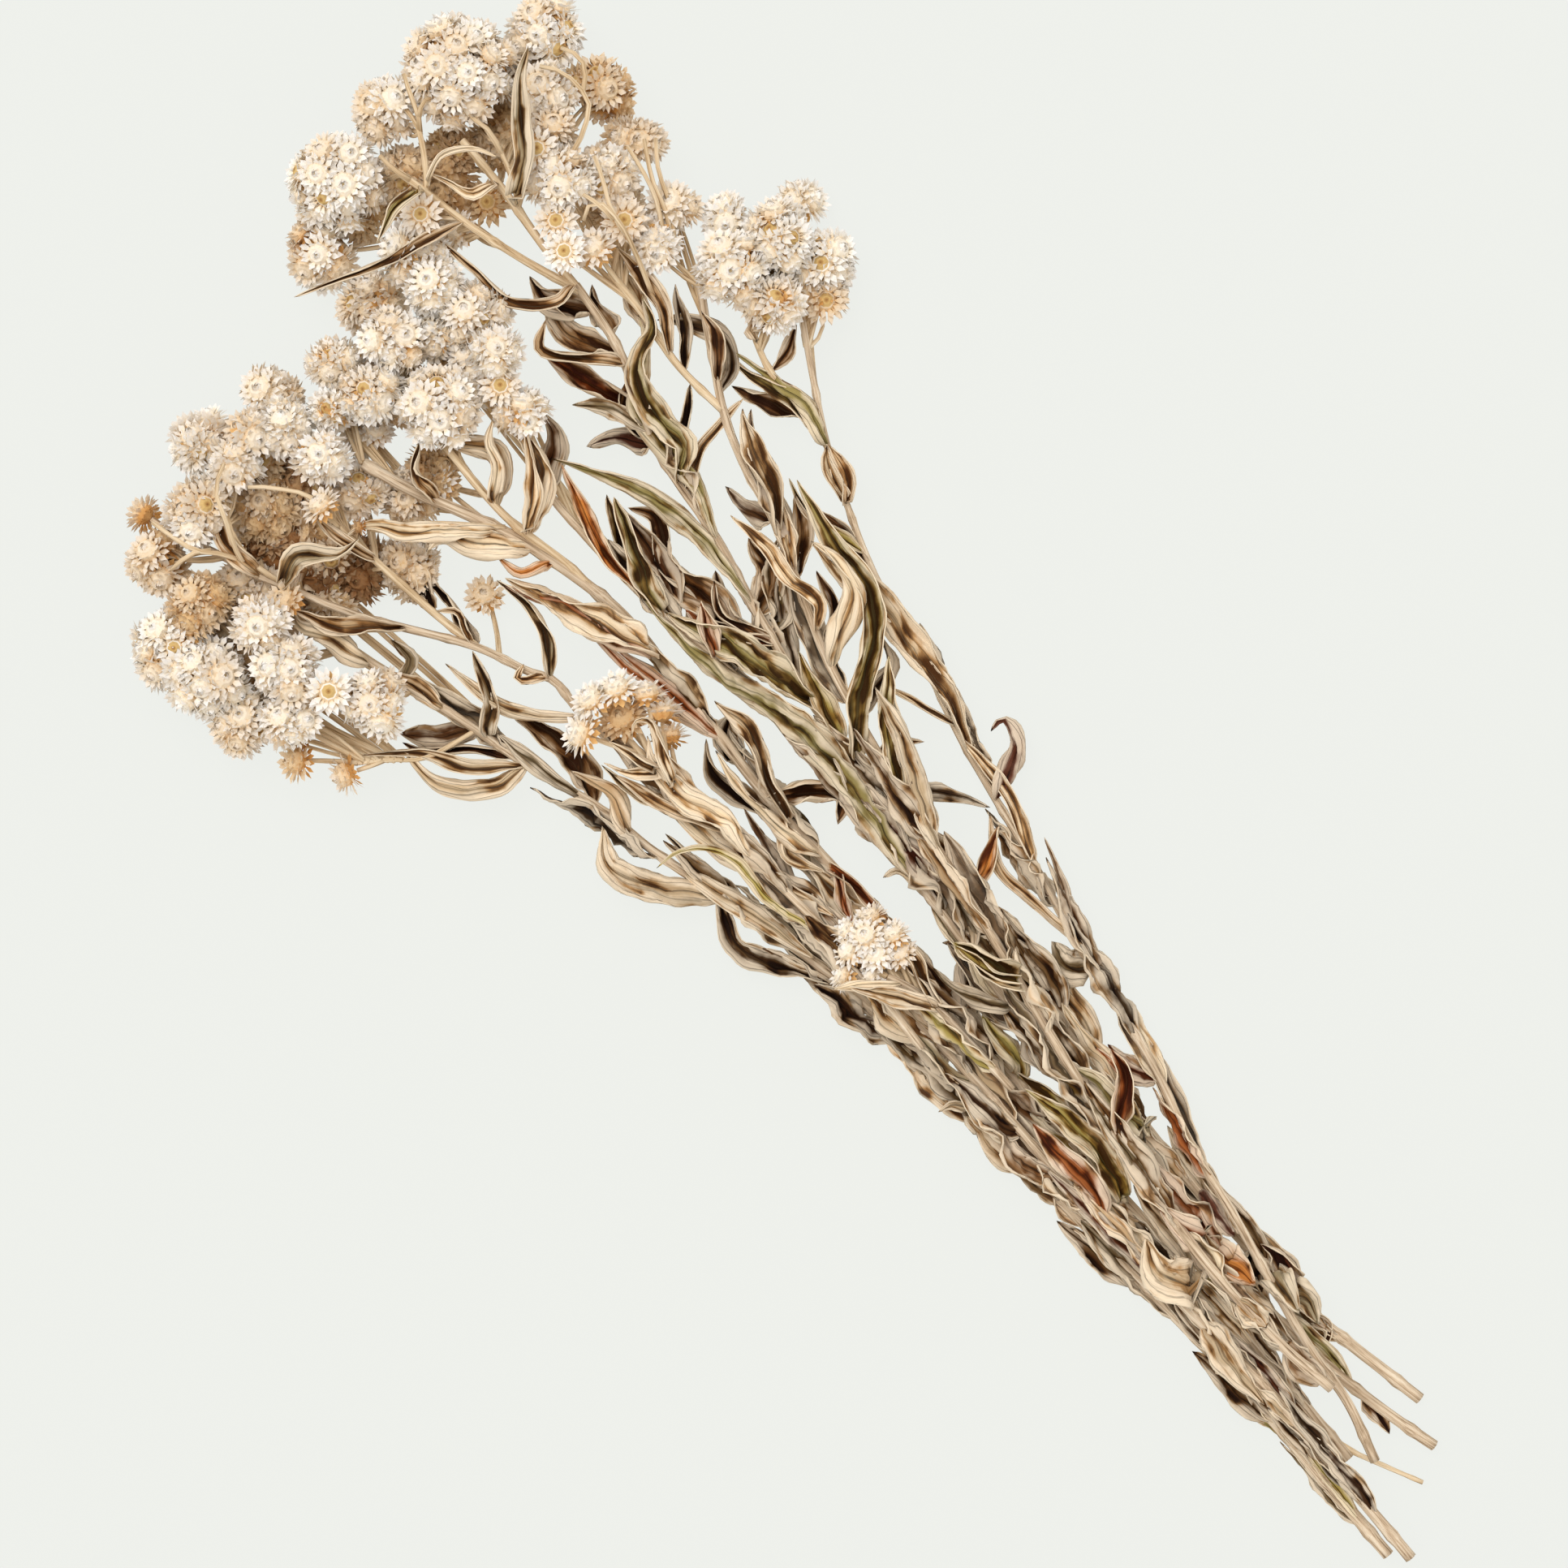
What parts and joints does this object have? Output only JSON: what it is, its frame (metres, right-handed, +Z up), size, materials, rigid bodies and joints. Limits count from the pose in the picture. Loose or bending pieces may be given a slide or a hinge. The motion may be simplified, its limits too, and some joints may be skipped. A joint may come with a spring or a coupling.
{
  "type": "dried pearly everlasting bunch",
  "caption": "Loose bunch of dried pearly everlasting lying on its side: leafy tan stems cut at one end, dense clusters of papery white heads at the other.",
  "frame": {"origin": "on the surface that the bunch lies on, under the middle of its bounding box", "axes": "+X from the cut ends towards the flowers, +Y across the bunch, +Z up from the surface"},
  "size_m": [0.467, 0.2166, 0.0443],
  "materials": {
    "dry_leaf_and_stem": "dull, dry and fibrous",
    "papery_heads": "matt, papery, slightly translucent"
  },
  "bodies": {
    "root": {"flower_heads_1_1": "papery_heads", "flower_heads_1_2": "papery_heads", "flower_heads_2_1": "papery_heads", "flower_heads_2_2": "papery_heads", "flower_heads_2_3": "papery_heads", "flower_heads_3_1": "papery_heads", "flower_heads_3_2": "papery_heads", "flower_heads_3_3": "papery_heads", "flower_heads_3_4": "papery_heads", "flower_heads_3_5": "papery_heads", "flower_heads_3_6": "papery_heads", "flower_heads_3_7": "papery_heads", "flower_heads_3_8": "papery_heads", "flower_heads_4_1": "papery_heads", "flower_heads_4_2": "papery_heads", "flower_heads_5_1": "papery_heads", "flower_heads_5_2": "papery_heads", "flower_heads_5_3": "papery_heads", "flower_heads_5_4": "papery_heads", "flower_heads_5_5": "papery_heads", "flower_heads_5_6": "papery_heads", "flower_heads_6_1": "papery_heads", "flower_heads_6_2": "papery_heads", "flower_heads_6_3": "papery_heads", "flower_heads_6_4": "papery_heads", "flower_heads_6_5": "papery_heads", "flower_heads_6_6": "papery_heads", "flower_heads_6_7": "papery_heads", "flower_heads_6_8": "papery_heads", "flower_heads_7_1": "papery_heads", "flower_heads_7_2": "papery_heads", "flower_heads_7_3": "papery_heads", "flower_heads_7_4": "papery_heads", "flower_heads_8_1": "papery_heads", "flower_heads_8_2": "papery_heads", "flower_heads_9_1": "papery_heads", "leafy_stem_1": "dry_leaf_and_stem", "leafy_stem_2": "dry_leaf_and_stem", "leafy_stem_3": "dry_leaf_and_stem", "leafy_stem_4": "dry_leaf_and_stem", "leafy_stem_5": "dry_leaf_and_stem", "leafy_stem_6": "dry_leaf_and_stem", "leafy_stem_7": "dry_leaf_and_stem", "leafy_stem_8": "dry_leaf_and_stem", "leafy_stem_9": "dry_leaf_and_stem"}
  },
  "joints": []
}
